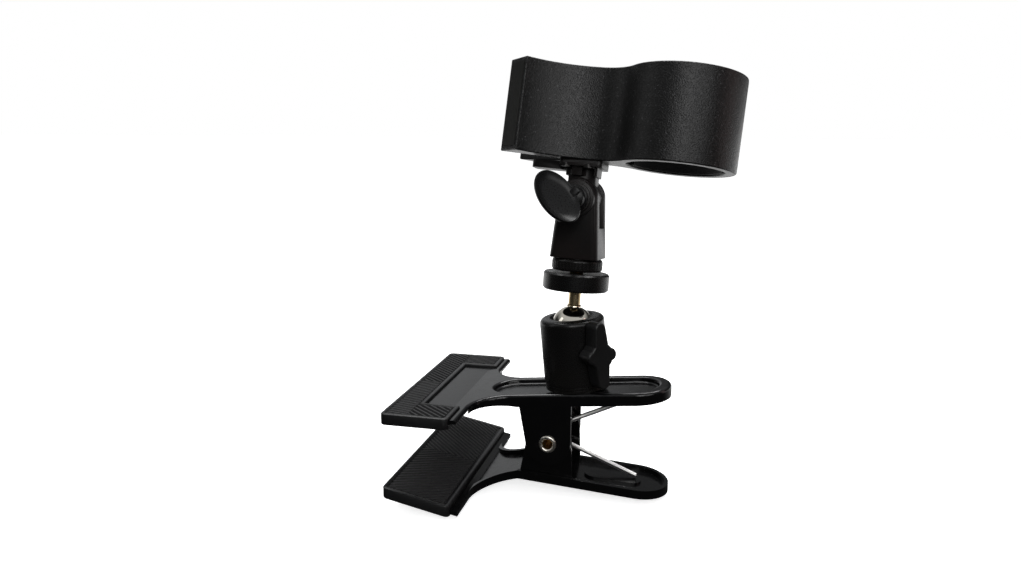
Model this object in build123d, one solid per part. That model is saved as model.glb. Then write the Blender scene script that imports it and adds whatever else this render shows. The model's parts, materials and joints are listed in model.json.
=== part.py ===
from build123d import *
import os
from math import acos, asin, atan2, cos, degrees, pi, radians, sin, sqrt, tan

# A spring clamp with a small ball head that carries a sprung clip for a round body.
# Millimetres. The origin is the centre of the upper pad's gripping face.
# +X runs from the jaws towards the handles, +Y runs along the pads, +Z is up.

# Clamp: sheet steel jaws
SHEET = 1.6                  # thickness of the pressed steel
JAW_LENGTH = 85.0            # steel, across the pads
HANDLE_WIDTH = 26.0
HANDLE_END = 93.5            # X of the rounded end
SHOULDER_X = 17.0            # X where the wide part ends
SHOULDER_RADIUS = 14.0
EDGE_ROUND = 1.4
FLANGE = 5.0                 # depth of the upper handle's turned-down edge
SHOULDER_FLANGE = 3.0        # its depth beside the pad
LOWER_FLANGE = 3.6           # height of the lower handle's turned-up edge
UPPER_TILT = 5.3             # degrees that the upper handle rises
LOWER_TILT = -4.3            # degrees, the lower handle
LOWER_SHOULDER_TILT = 15.6
LOWER_PAD_TILT = -11.5
TROUGH_WIDTH = 18.4
TROUGH_DEPTH = 2.0
TROUGH_START = 21.0
TROUGH_END = 88.5
TROUGH_RIM = 1.15            # rounds of the trough's rim and floor
TROUGH_FLOOR = 0.8
BELLY_BORDER = 0.6           # trough's underside beyond its top
EAR_FRONT = 12.5             # ear's front edge before the pivot where it leaves the handle
EAR_REAR = 9.4
RIB_HEIGHT = 0.9             # raised rib in the lower handle
RIB_START = 59.2
RIB_END = 82.5

# Rubber pads
PAD_LENGTH = 88.0
PAD_FRONT = -13.0
PAD_REAR = 14.0
PAD_SKIN = 1.8               # rubber between the steel and the work
PAD_THICKNESS = 4.5
PAD_BAND = 12.5              # front border round the bare steel
PAD_SIDE = 16.0              # side borders
PAD_CORNER = 2.2

# Jaw pivot and its spring
PIVOT_X = 46.0
PIVOT_Z = -14.0
EAR_RADIUS = 9.2
EAR_GAP = 0.3                # between upper and lower ears
RIVET_RADIUS = 3.0
RIVET_BORE = 1.7
RIVET_HEAD = 3.6
RIVET_HEAD_HEIGHT = 1.0
RUNNING = 0.05               # radial clearance of everything that turns
SPRING_WIRE = 1.9
SPRING_MEAN = 4.6
SPRING_COILS = 9
SPRING_GAP = 1.2             # between its last turn, which follows the lower handle, and the rest
SPRING_REACH = 80.5          # X where its legs rest in the handles
SPRING_TIP_Y = 1.5           # and their distance from the middle

# Lower jaw's place while the clamp holds a board
GRIP = 25.2                  # front edge of the lower pad under the upper one
LOWER_BEND_X = 33.5

# Ball head
HOUSING_X = 44.4             # along the upper handle from its bend
HOUSING_RADIUS = 13.0
HOUSING_HEIGHT = 28.8        # with its base ring
BASE_RING = 3.2
BASE_RING_RADIUS = 12.7
BASE_GROOVE = 0.4            # depth of its two grooves
BASE_GROOVE_WIDTH = 0.35
BASE_GROOVE_HEIGHTS = (0.9, 2.0)
HOUSING_ROUND = 2.0
BALL_RADIUS = 8.5
BALL_DROP = 4.3              # ball's centre under the housing's top
LIP_HEIGHT = 3.2             # throat above the ball's centre
SEAT_RADIUS = 9.3
SEAT_HEIGHT = 11.0
SCREW_RADIUS = 3.0           # handle screw that holds the housing
SCREW_DEPTH = 8.0
SCREW_HEAD = 5.0
SCREW_HEAD_HEIGHT = 2.4
WASHER_RADIUS = 6.2
WASHER_THICKNESS = 0.8

# Lock knob on the housing's side
LOCK_TURN = 43.0             # degrees from -Y towards +X
LOCK_HEIGHT = 15.6
LOCK_SCREW_RADIUS = 2.5
PLUG_LENGTH = 1.7
KNOB_GAP = 0.8
KNOB_HUB_RADIUS = 5.2
KNOB_THICKNESS = 6.4
KNOB_WING = 13.2             # from the knob's axis to a wing's tip
KNOB_WING_WIDTH = 5.0
KNOB_WAIST_WIDTH = 7.4
KNOB_BUMP = 6.6
KNOB_BUMP_RADIUS = 2.6
KNOB_ROUND = 0.8

# Ball stem and platform
STEM_LEAN_X = 2.6
STEM_LEAN_Y = 5.1
HEAD_TURN = -5.0             # degrees that the yoke and the clip are turned
NECK_RADIUS = 2.4
STUD_RADIUS = 3.1
STUD_END = 31.5              # from the ball's centre
PLATFORM_START = 15.1
PLATFORM_RADIUS = 13.2
PLATFORM_THICKNESS = 7.0
PLATFORM_CHAMFER = 0.7

# Thread adapter between the stud and the yoke
ADAPTER_GAP = 0.7
ADAPTER_RADIUS = 10.1
ADAPTER_HEIGHT = 4.9
KNURLS = 44
KNURL_DEPTH = 0.35
THREAD_RADIUS = 7.94
THREAD_LENGTH = 9.0
SEAT_GAP = 0.3               # yoke over the adapter's flange

# Swivel yoke
YOKE_WIDTH = 19.5
YOKE_DEPTH = 18.0
YOKE_ROUND = 2.6
SLOT_WIDTH = 8.0
SLOT_BOTTOM = 12.2
TILT_HEIGHT = 23.6
YOKE_EAR_RADIUS = 7.9
BOSS_RADIUS = 7.1
BOSS_HEIGHT = 1.4
BOSS_STEP = 1.2              # border of the raised washer face on the boss
BOSS_STEP_HEIGHT = 0.8
BOLT_RADIUS = 2.5
NUT_RADIUS = 4.6
NUT_DEPTH = 3.4

# Tilt paddle
PADDLE_LONG = 23.0
PADDLE_SHORT = 15.0
PADDLE_THICKNESS = 3.0
PADDLE_DISH = 0.9
PADDLE_RIM = 1.6
PADDLE_STALK = 3.4
PADDLE_GAP = 0.3             # hub to boss
PADDLE_HUB_RADIUS = 5.2
PADDLE_HUB_LENGTH = 6.0
PADDLE_OUT = 12.6            # its centre in front of the yoke
PADDLE_SHIFT = -4.4          # its centre beside the tilt axis
PADDLE_SLANT = -40.0         # long axis from upright
PADDLE_CANT = 44.0           # degrees that it is turned to one side

# Clip neck
NECK_RISE = 14.2             # clip's underside above the tilt axis
CLIP_LEAN_X = 4.87
CLIP_LEAN_Y = 10.75
TONGUE_THICKNESS = 6.0
TONGUE_RADIUS = 7.2
TONGUE_WEB = 11.0
FRICTION_RADIUS = 6.4
FRICTION_THICKNESS = 0.7
NECK_PLATE = (17.0, 14.0, 2.4)
NECK_BLOCK = (13.0, 9.6, 3.4)
NECK_LUG = (-20.5, -5.0, 4.0, -4.0, -0.9)    # start, end, half width, bottom, top
NECK_LUG_ROUND = 1.8
NECK_SCREW_RADIUS = 1.4
NECK_SCREW_LENGTH = 9.0
NECK_SCREW_HEAD = 2.5
NECK_SCREW_X = (-6.0, 3.0)
NECK_SCREW_Y = -4.6

# Clip jaws
CLIP_HEIGHT = 35.7
RING_X = 35.5                # ring's centre from the neck's axis
RING_RADIUS = 22.8
RING_WALL = 3.9
LINER = 1.4
LINER_SPAN = 150.0           # degrees of each half
WAIST_HALF = 7.8
WAIST_BLEND = 15.6
GRIP_BLEND = 37.0
GRIP_END = -58.0             # from the ring's centre
GRIP_CAP = 1.4               # depth of the smooth cap in a grip's end
CAP_BORDER = 1.2
SPLIT = 0.25                 # half of the gap between the jaws
SPREAD = 18.0                # degrees from the middle to a grip's inner face
JAW_EDGE = 0.5
KNUCKLE_RADIUS = 5.5
KNUCKLE_GAP = 0.35
PIN_RADIUS = 2.0
KNUCKLE_LOW = 9.0            # front jaw's lower knuckle ends here
KNUCKLE_HIGH = 26.4          # and its upper knuckle starts here
REAR_KNUCKLE = 18.0          # rear jaw's knuckle starts here
REAR_LIFT = 0.4              # rear jaw clears the neck plate
JAW_WIRE = 1.3
JAW_SPRING_MEAN = 3.6
JAW_LEG = 14.0

LEG_SHARE = 0.46             # a leg's radius as a share of its wire, clear of the coil's faces

FAR = 300.0


def leaning(origin, lean_x, lean_y, turn):
    """A frame whose Z leans towards +X and +Y and whose X is turned about it."""
    up = Vector(tan(radians(lean_x)), tan(radians(lean_y)), 1).normalized()
    ahead = Vector(cos(radians(turn)), sin(radians(turn)), 0)
    ahead = (ahead - up * ahead.dot(up)).normalized()
    return Plane(origin=origin, x_dir=ahead, z_dir=up).location


def line_height(line, x):
    """Height of a side line at x."""
    for (x0, z0), (x1, z1) in zip(line, line[1:]):
        if x <= x1:
            return z0 + (z1 - z0) * (x - x0) / (x1 - x0)
    return line[-1][1]


def between(outline, low, high):
    """The outline cut from the space between two side lines."""
    side = make_face(Polyline(*low, *reversed(high), close=True))
    sheet = extrude(Plane.XZ * side, amount=FAR, both=True)
    column = extrude(Pos(0, 0, -FAR) * outline, amount=2 * FAR)
    return sheet & column


def shifted(line, rise):
    """A side line moved up."""
    return [(x, z + rise) for x, z in line]


def rod(start, end, radius):
    """A round bar between two points."""
    along = Vector(*end) - Vector(*start)
    seat = Plane(origin=start, z_dir=along).location
    return seat * Cylinder(radius, along.length, align=(Align.CENTER, Align.CENTER, Align.MIN))


def on_circle(centre, radius, angle):
    """A point on a circle."""
    return (centre[0] + radius * cos(angle), centre[1] + radius * sin(angle))


def along_y(x, z, radius, start, end):
    """A round bar along Y."""
    return rod((x, start, z), (x, end, z), radius)


def upright(radius, low, high):
    """A round bar along Z."""
    return Pos(0, 0, low) * Cylinder(radius, high - low, align=(Align.CENTER, Align.CENTER, Align.MIN))


def block(x0, x1, y0, y1, z0, z1):
    """A box between six planes."""
    return Pos((x0 + x1) / 2, (y0 + y1) / 2, (z0 + z1) / 2) * Box(x1 - x0, y1 - y0, z1 - z0)


# Side lines: the upper jaw's top face and the lower jaw's bottom face
UPPER_PLATE = PAD_SKIN + SHEET
UPPER_LINE = [(PAD_FRONT, UPPER_PLATE), ((PAD_FRONT + PAD_REAR) / 2 + 10.8, UPPER_PLATE)]
UPPER_BEND = UPPER_LINE[1][0]
UPPER_LINE.append((FAR, UPPER_PLATE + (FAR - UPPER_BEND) * tan(radians(UPPER_TILT))))

LOWER_LINE = [(PAD_FRONT, -GRIP - PAD_SKIN - SHEET)]
for stop, tilt in (
    (SHOULDER_X, LOWER_PAD_TILT),
    (LOWER_BEND_X, LOWER_SHOULDER_TILT),
    (FAR, LOWER_TILT),
):
    x0, z0 = LOWER_LINE[-1]
    LOWER_LINE.append((stop, z0 + (stop - x0) * tan(radians(tilt))))

HANDLE = leaning((UPPER_BEND, 0, UPPER_PLATE), -UPPER_TILT, 0, 0)
HOUSING = HANDLE * Pos(HOUSING_X, 0, 0)
BALL_HEIGHT = HOUSING_HEIGHT - BALL_DROP
BALL_CENTRE = (HOUSING * Pos(0, 0, BALL_HEIGHT)).position
STEM = leaning(BALL_CENTRE, STEM_LEAN_X, STEM_LEAN_Y, HEAD_TURN)
ADAPTER_START = PLATFORM_START + PLATFORM_THICKNESS + ADAPTER_GAP
YOKE_START = ADAPTER_START + ADAPTER_HEIGHT + SEAT_GAP
YOKE = STEM * Pos(0, 0, YOKE_START)
TILT = YOKE * Pos(0, 0, TILT_HEIGHT)
CLIP = leaning((TILT * Pos(0, 0, NECK_RISE)).position, CLIP_LEAN_X, CLIP_LEAN_Y, HEAD_TURN)
LOCK = HOUSING * Pos(0, 0, LOCK_HEIGHT) * Rot(0, 0, LOCK_TURN) * Rot(90, 0, 0)
EAR_OUTSIDE = HANDLE_WIDTH / 2
LOWER_EAR_OUTSIDE = EAR_OUTSIDE - SHEET - EAR_GAP


def jaw_outline():
    """Plan of a pressed jaw: a wide bar, two hollow shoulders and a round-ended handle."""
    half = HANDLE_WIDTH / 2
    front = PAD_FRONT + 1.5
    bar = Pos((front + SHOULDER_X) / 2, 0) * Rectangle(SHOULDER_X - front, JAW_LENGTH)
    length = HANDLE_END - half - front
    handle = Pos(front + length / 2, 0) * Rectangle(length, HANDLE_WIDTH)
    plan = bar + handle + Pos(HANDLE_END - half, 0) * Circle(half)
    inner = [v for v in plan.vertices() if abs(v.X - SHOULDER_X) < 0.01 and abs(v.Y) < half + 1]
    return fillet(inner, SHOULDER_RADIUS)


def flange_plan(outline):
    """The strip along the handle's and the shoulders' edge."""
    strip = outline - offset(outline, amount=-SHEET)
    return strip & Pos(SHOULDER_X + FAR / 2, 0) * Rectangle(FAR, FAR)


def slot_plan(width, start, end):
    """A round-ended slot along X."""
    middle = Pos((start + end) / 2, 0) * Rectangle(end - start - width, width)
    ends = [Pos(x, 0) * Circle(width / 2) for x in (start + width / 2, end - width / 2)]
    return middle + ends[0] + ends[1]


def ear_pair(corners, radius, outside, hole):
    """Two equal ears that stand along the pivot, with a hole through both."""
    side = make_face(Polyline(*corners, close=True)) + Pos(PIVOT_X, PIVOT_Z) * Circle(radius)
    plate = extrude(Plane.XZ * side, amount=SHEET)
    far = Pos(0, outside, 0) * plate
    near = Pos(0, -outside + SHEET, 0) * plate
    return (far + near) - along_y(PIVOT_X, PIVOT_Z, hole, -FAR, FAR)


def upper_jaw_plate():
    outline = jaw_outline()
    plate = between(outline, shifted(UPPER_LINE, -SHEET), UPPER_LINE)
    low = [(SHOULDER_X - 1, line_height(UPPER_LINE, SHOULDER_X) - SHOULDER_FLANGE)]
    low.append((LOWER_BEND_X, line_height(UPPER_LINE, LOWER_BEND_X) - FLANGE))
    low.append((FAR, line_height(UPPER_LINE, FAR) - FLANGE))
    high = [(x, line_height(UPPER_LINE, x) - SHEET / 2) for x, z in low]
    plate += between(flange_plan(outline), low, high)
    rim = [e for e in plate.edges() if rim_edge(e, UPPER_LINE, 0.0)]
    plate = fillet(rim, EDGE_ROUND)
    middle = -SHEET / 2
    front = PIVOT_X - EAR_FRONT
    rear = PIVOT_X + EAR_REAR
    corners = [(front, line_height(UPPER_LINE, front) + middle), (PIVOT_X - EAR_RADIUS, PIVOT_Z)]
    corners += [(PIVOT_X + EAR_RADIUS, PIVOT_Z), (rear, line_height(UPPER_LINE, rear) + middle)]
    plate += ear_pair(corners, EAR_RADIUS, EAR_OUTSIDE, RIVET_RADIUS)
    width = TROUGH_WIDTH + 2 * BELLY_BORDER
    belly = slot_plan(width, TROUGH_START - BELLY_BORDER, TROUGH_END + BELLY_BORDER)
    plate += between(belly, shifted(UPPER_LINE, -SHEET - TROUGH_DEPTH), shifted(UPPER_LINE, middle))
    trough = slot_plan(TROUGH_WIDTH, TROUGH_START, TROUGH_END)
    plate -= between(trough, shifted(UPPER_LINE, -TROUGH_DEPTH), shifted(UPPER_LINE, TROUGH_WIDTH))
    plate = fillet([e for e in plate.edges() if trough_edge(e, 0)], TROUGH_RIM)
    plate = fillet([e for e in plate.edges() if trough_edge(e, TROUGH_DEPTH)], TROUGH_FLOOR)
    return plate - HOUSING * upright(SCREW_RADIUS + RUNNING, -FAR / 10, FAR / 10)


def trough_edge(edge, depth):
    """Whether an edge runs round the trough at a depth."""
    spots = [edge.position_at(u) for u in (0.1, 0.5, 0.9)]
    level = all(abs(p.Z - line_height(UPPER_LINE, p.X) + depth) < 0.02 for p in spots)
    inside = all(abs(p.Y) <= TROUGH_WIDTH / 2 + RUNNING and p.X < TROUGH_END + RUNNING for p in spots)
    return level and inside and edge.length > TROUGH_WIDTH / 2 and spots[1].X > TROUGH_START - RUNNING


def rim_edge(edge, line, shift):
    """Whether an edge is on the handle's outer rim, behind the shoulders."""
    box = edge.bounding_box()
    if box.min.X < SHOULDER_X - 0.1 or box.size.X < 5 and box.size.Y < 5:
        return False
    spots = [edge.position_at(u) for u in (0.05, 0.5, 0.95)]
    on_line = all(abs(p.Z - line_height(line, p.X) - shift) < 0.02 for p in spots)
    inside = any(abs(p.Y) < HANDLE_WIDTH / 2 - 0.5 and p.X < HANDLE_END - HANDLE_WIDTH / 2 for p in spots)
    return on_line and not inside


def lower_jaw_plate():
    outline = jaw_outline()
    plate = between(outline, LOWER_LINE, shifted(LOWER_LINE, SHEET))
    starts = (SHOULDER_X - 1, LOWER_BEND_X, FAR)
    low = [(x, line_height(LOWER_LINE, x) + SHEET / 2) for x in starts]
    tops = (SHOULDER_FLANGE, LOWER_FLANGE, LOWER_FLANGE)
    high = [(x, line_height(LOWER_LINE, x) + top) for x, top in zip(starts, tops)]
    plate += between(flange_plan(outline), low, high)
    front = PIVOT_X - EAR_FRONT + EAR_GAP
    rear = PIVOT_X + EAR_REAR + EAR_GAP
    corners = [(front, line_height(LOWER_LINE, front) + SHEET / 2), (PIVOT_X - EAR_RADIUS, PIVOT_Z)]
    corners += [(PIVOT_X + EAR_RADIUS, PIVOT_Z), (rear, line_height(LOWER_LINE, rear) + SHEET / 2)]
    plate += ear_pair(corners, EAR_RADIUS, LOWER_EAR_OUTSIDE, RIVET_RADIUS + RUNNING)
    rib = slot_plan(HANDLE_WIDTH / 3, RIB_START, RIB_END)
    plate += between(rib, shifted(LOWER_LINE, SHEET / 2), shifted(LOWER_LINE, SHEET + RIB_HEIGHT))
    return plate


def pad(line, steel_line, up):
    """Rubber that wraps a jaw's bar: a skin on the work side, a raised border on the other."""
    middle = (PAD_FRONT + PAD_REAR) / 2
    full = Pos(middle, 0) * RectangleRounded(PAD_REAR - PAD_FRONT, PAD_LENGTH, PAD_CORNER)
    window_front = PAD_FRONT + PAD_BAND
    window = Pos((window_front + FAR / 2), 0) * Rectangle(FAR, PAD_LENGTH - 2 * PAD_SIDE)
    skin, top = (-PAD_SKIN - SHEET, PAD_THICKNESS - PAD_SKIN - SHEET)
    if not up:
        skin, top = (SHEET + PAD_SKIN, SHEET + PAD_SKIN - PAD_THICKNESS)
    low, high = sorted((skin, top))
    body = between(full, shifted(line, low), shifted(line, high))
    steel = (-SHEET, 0) if up else (0, SHEET)
    body -= between(jaw_outline(), shifted(steel_line, steel[0]), shifted(steel_line, steel[1]))
    open_side = (0, FAR / 10) if up else (-FAR / 10, 0)
    return body - between(window, shifted(line, open_side[0]), shifted(line, open_side[1]))


def pivot_rivet():
    shank = along_y(PIVOT_X, PIVOT_Z, RIVET_RADIUS, -EAR_OUTSIDE, EAR_OUTSIDE)
    body = shank
    for side in (-1, 1):
        head = along_y(PIVOT_X, PIVOT_Z, RIVET_HEAD, side * EAR_OUTSIDE, side * (EAR_OUTSIDE + RIVET_HEAD_HEIGHT))
        rim = [e for e in head.edges().filter_by(GeomType.CIRCLE) if abs(e.center().Y) > EAR_OUTSIDE + 0.1]
        body += fillet(rim, RIVET_HEAD_HEIGHT * 0.6)
    return body - along_y(PIVOT_X, PIVOT_Z, RIVET_BORE, -FAR, FAR)


def coil(start, end):
    """The envelope of a stretch of the clamp spring's coil."""
    outer = along_y(PIVOT_X, PIVOT_Z, SPRING_MEAN + SPRING_WIRE / 2, start, end)
    return outer - along_y(PIVOT_X, PIVOT_Z, SPRING_MEAN - SPRING_WIRE / 2, start - 1, end + 1)


COIL_START = -SPRING_WIRE * SPRING_COILS / 2
COIL_END = -COIL_START


def spring_leg(line, rise, side):
    """A straight leg from the coil's end to a handle, on the -Y side (-1) or the +Y side (1)."""
    tip = (SPRING_REACH - PIVOT_X, line_height(line, SPRING_REACH) + rise - PIVOT_Z)
    apart = sqrt(tip[0] ** 2 + tip[1] ** 2)
    turn = atan2(tip[1], tip[0]) - side * acos(SPRING_MEAN / apart)
    root = on_circle((PIVOT_X, PIVOT_Z), SPRING_MEAN, turn)
    start = (root[0], side * (COIL_END - SPRING_WIRE / 2), root[1])
    end = (PIVOT_X + tip[0], side * SPRING_TIP_Y, PIVOT_Z + tip[1])
    return rod(start, end, SPRING_WIRE * LEG_SHARE)


def clamp_spring():
    """Every turn but the last, and the leg under the upper handle."""
    rise = -SHEET - TROUGH_DEPTH - SPRING_WIRE / 2 - RUNNING
    return coil(COIL_START, COIL_END - SPRING_WIRE - SPRING_GAP) + spring_leg(UPPER_LINE, rise, -1)


def clamp_spring_arm():
    """The last turn and the leg that rests in the lower handle."""
    rise = SHEET + RIB_HEIGHT + SPRING_WIRE / 2 + RUNNING
    return coil(COIL_END - SPRING_WIRE, COIL_END) + spring_leg(LOWER_LINE, rise, 1)


def housing_base():
    """Stepped ring under the ball housing."""
    ring = upright(BASE_RING_RADIUS, 0, BASE_RING)
    for low in BASE_GROOVE_HEIGHTS:
        high = low + BASE_GROOVE_WIDTH
        ring -= upright(FAR, low, high) - upright(BASE_RING_RADIUS - BASE_GROOVE, low, high)
    return HOUSING * (ring - upright(SCREW_RADIUS + RUNNING, -1, BASE_RING + 1))


def throat_radius():
    """Radius of the opening that holds the ball in."""
    pocket = BALL_RADIUS + RUNNING
    return sqrt(pocket**2 - LIP_HEIGHT**2)


def ball_housing():
    body = upright(HOUSING_RADIUS, BASE_RING, HOUSING_HEIGHT)
    tops = [e for e in body.edges().filter_by(GeomType.CIRCLE) if abs(e.center().Z - HOUSING_HEIGHT) < 0.01]
    body = fillet(tops, HOUSING_ROUND)
    body -= upright(SEAT_RADIUS + RUNNING, BALL_HEIGHT - SEAT_HEIGHT, BALL_HEIGHT)
    body -= Pos(0, 0, BALL_HEIGHT) * Sphere(BALL_RADIUS + RUNNING)
    rise = HOUSING_HEIGHT - BALL_HEIGHT - LIP_HEIGHT
    wide = throat_radius() + rise
    mouth = Cone(throat_radius(), wide, rise, align=(Align.CENTER, Align.CENTER, Align.MIN))
    body -= Pos(0, 0, BALL_HEIGHT + LIP_HEIGHT) * mouth
    body -= upright(SCREW_RADIUS, BASE_RING - 1, SCREW_DEPTH)
    body = HOUSING * body
    return body - LOCK * upright(LOCK_SCREW_RADIUS + RUNNING, SEAT_RADIUS - 2, FAR)


def housing_screw():
    under = -SHEET - TROUGH_DEPTH - WASHER_THICKNESS
    head = upright(SCREW_HEAD, under - SCREW_HEAD_HEIGHT, under)
    rims = head.edges().filter_by(GeomType.CIRCLE).sort_by(Axis.Z)[0]
    head = fillet(rims, 0.7)
    slot = block(-FAR, FAR, -0.6, 0.6, under - SCREW_HEAD_HEIGHT - 1, under - SCREW_HEAD_HEIGHT + 1)
    return HOUSING * (head + upright(SCREW_RADIUS, under, SCREW_DEPTH - 0.5) - slot)


def housing_washer():
    under = -SHEET - TROUGH_DEPTH
    ring = upright(WASHER_RADIUS, under - WASHER_THICKNESS, under)
    return HOUSING * (ring - upright(SCREW_RADIUS + RUNNING, under - 2, under + 1))


def ball_seat():
    top = BALL_HEIGHT - 1.0
    body = upright(SEAT_RADIUS, BALL_HEIGHT - SEAT_HEIGHT + RUNNING, top)
    return HOUSING * (body - Pos(0, 0, BALL_HEIGHT) * Sphere(BALL_RADIUS + RUNNING))


def clutch_plug():
    start = SEAT_RADIUS + 2 * RUNNING
    body = LOCK * upright(LOCK_SCREW_RADIUS, start - 1, start + PLUG_LENGTH)
    return body - HOUSING * upright(start, 0, HOUSING_HEIGHT)


def lock_screw():
    start = SEAT_RADIUS + 3 * RUNNING + PLUG_LENGTH
    return LOCK * upright(LOCK_SCREW_RADIUS, start, HOUSING_RADIUS + KNOB_GAP + KNOB_THICKNESS - 1.5)


def lock_knob():
    tip = KNOB_WING - KNOB_WING_WIDTH / 2
    plan = Circle(KNOB_HUB_RADIUS)
    for side in (-1, 1):
        wing = Polyline(
            (-KNOB_WAIST_WIDTH / 2, 0),
            (KNOB_WAIST_WIDTH / 2, 0),
            (KNOB_WING_WIDTH / 2, side * tip),
            (-KNOB_WING_WIDTH / 2, side * tip),
            close=True,
        )
        plan += make_face(wing) + Pos(0, side * tip) * Circle(KNOB_WING_WIDTH / 2)
        plan += Pos(side * (KNOB_BUMP - KNOB_BUMP_RADIUS), 0) * Circle(KNOB_BUMP_RADIUS)
    body = extrude(plan, amount=KNOB_THICKNESS)
    caps = body.faces().sort_by(Axis.Z)
    body = fillet(caps[-1].edges(), KNOB_ROUND)
    shank = upright(LOCK_SCREW_RADIUS, -1, KNOB_THICKNESS - 1.5)
    return LOCK * Pos(0, 0, HOUSING_RADIUS + KNOB_GAP) * (body - shank)


def ball_stud():
    body = Sphere(BALL_RADIUS) + upright(NECK_RADIUS, 0, PLATFORM_START + 0.5)
    body += upright(STUD_RADIUS, PLATFORM_START, STUD_END)
    return STEM * body


def platform_disc():
    body = upright(PLATFORM_RADIUS, PLATFORM_START, PLATFORM_START + PLATFORM_THICKNESS)
    body = chamfer(body.edges().filter_by(GeomType.CIRCLE), PLATFORM_CHAMFER)
    return STEM * (body - upright(STUD_RADIUS, 0, FAR))


def thread_adapter():
    flange = upright(ADAPTER_RADIUS, ADAPTER_START, ADAPTER_START + ADAPTER_HEIGHT)
    flange = fillet(flange.edges().filter_by(GeomType.CIRCLE), 1.2)
    tooth = Pos(ADAPTER_RADIUS + 0.1, 0, ADAPTER_START) * upright(KNURL_DEPTH + 0.1, 1.0, ADAPTER_HEIGHT - 1.0)
    flange -= [Rot(0, 0, 360 * i / KNURLS) * tooth for i in range(KNURLS)]
    top = ADAPTER_START + ADAPTER_HEIGHT
    thread = upright(THREAD_RADIUS, top - 0.5, top + THREAD_LENGTH)
    thread = chamfer(thread.edges().filter_by(GeomType.CIRCLE).sort_by(Axis.Z)[-1], 0.8)
    return STEM * (flange + thread - upright(STUD_RADIUS + RUNNING, 0, FAR))


BOSS_FRONT = -YOKE_DEPTH / 2 - BOSS_HEIGHT - BOSS_STEP_HEIGHT


def swivel_yoke():
    half = YOKE_WIDTH / 2
    side = make_face(
        Polyline(
            (-half, 0),
            (half, 0),
            (YOKE_EAR_RADIUS, TILT_HEIGHT),
            (-YOKE_EAR_RADIUS, TILT_HEIGHT),
            close=True,
        )
    )
    side += Pos(0, TILT_HEIGHT) * Circle(YOKE_EAR_RADIUS)
    body = extrude(Plane.XZ * side, amount=YOKE_DEPTH / 2, both=True)
    corners = [e for e in body.edges() if upright_corner(e)]
    body = fillet(corners, YOKE_ROUND)
    body -= block(-FAR, FAR, -SLOT_WIDTH / 2, SLOT_WIDTH / 2, SLOT_BOTTOM, FAR)
    front = -YOKE_DEPTH / 2
    body += along_y(0, TILT_HEIGHT, BOSS_RADIUS, front - BOSS_HEIGHT, front + 1)
    body += along_y(0, TILT_HEIGHT, BOSS_RADIUS - BOSS_STEP, BOSS_FRONT, front)
    body -= along_y(0, TILT_HEIGHT, BOLT_RADIUS + RUNNING, -FAR, FAR)
    body -= nut_shape(NUT_RADIUS, YOKE_DEPTH / 2 - NUT_DEPTH, FAR)
    body -= upright(THREAD_RADIUS + RUNNING, -1, THREAD_LENGTH + 1)
    return YOKE * body


def upright_corner(edge):
    """Whether an edge is one of the yoke's four long corners."""
    box = edge.bounding_box()
    return box.size.Z > TILT_HEIGHT * 0.8 and box.size.Y < 0.1


def nut_shape(radius, start, end):
    """A hexagon on the tilt axis, in the yoke's frame."""
    plan = RegularPolygon(radius, 6)
    return Pos(0, start, TILT_HEIGHT) * Rot(-90, 0, 0) * extrude(plan, amount=end - start)


def tilt_nut():
    start = YOKE_DEPTH / 2 - NUT_DEPTH
    body = nut_shape(NUT_RADIUS, start, start + NUT_DEPTH - 0.4)
    return YOKE * (body - along_y(0, TILT_HEIGHT, BOLT_RADIUS + RUNNING, -FAR, FAR))


def tilt_bolt():
    body = along_y(0, 0, BOLT_RADIUS, BOSS_FRONT - PADDLE_HUB_LENGTH + 2, YOKE_DEPTH / 2 + 0.6)
    return TILT * body


def tilt_paddle():
    start = BOSS_FRONT - PADDLE_GAP
    hub = along_y(0, 0, PADDLE_HUB_RADIUS, start - PADDLE_HUB_LENGTH, start)
    plan = Ellipse(PADDLE_SHORT / 2, PADDLE_LONG / 2)
    plate = extrude(plan, amount=PADDLE_THICKNESS / 2, both=True)
    plate = fillet(plate.edges(), PADDLE_THICKNESS * 0.3)
    dish = Ellipse(PADDLE_SHORT / 2 - PADDLE_RIM, PADDLE_LONG / 2 - PADDLE_RIM)
    hollow = extrude(dish, amount=PADDLE_DISH)
    plate -= Pos(0, 0, PADDLE_THICKNESS / 2 - PADDLE_DISH) * hollow
    out = -YOKE_DEPTH / 2 - PADDLE_OUT
    seat = Pos(PADDLE_SHIFT, out, 0) * Rot(0, PADDLE_SLANT, 0) * Rot(90, 0, 0)
    paddle = seat * Rot(0, PADDLE_CANT, 0) * plate
    stalk = rod((0, start - 1, 0), (PADDLE_SHIFT / 2, out + 1, 0), PADDLE_STALK)
    return TILT * (hub + paddle + stalk - along_y(0, 0, BOLT_RADIUS, start - PADDLE_HUB_LENGTH + 2.3, FAR))


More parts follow.
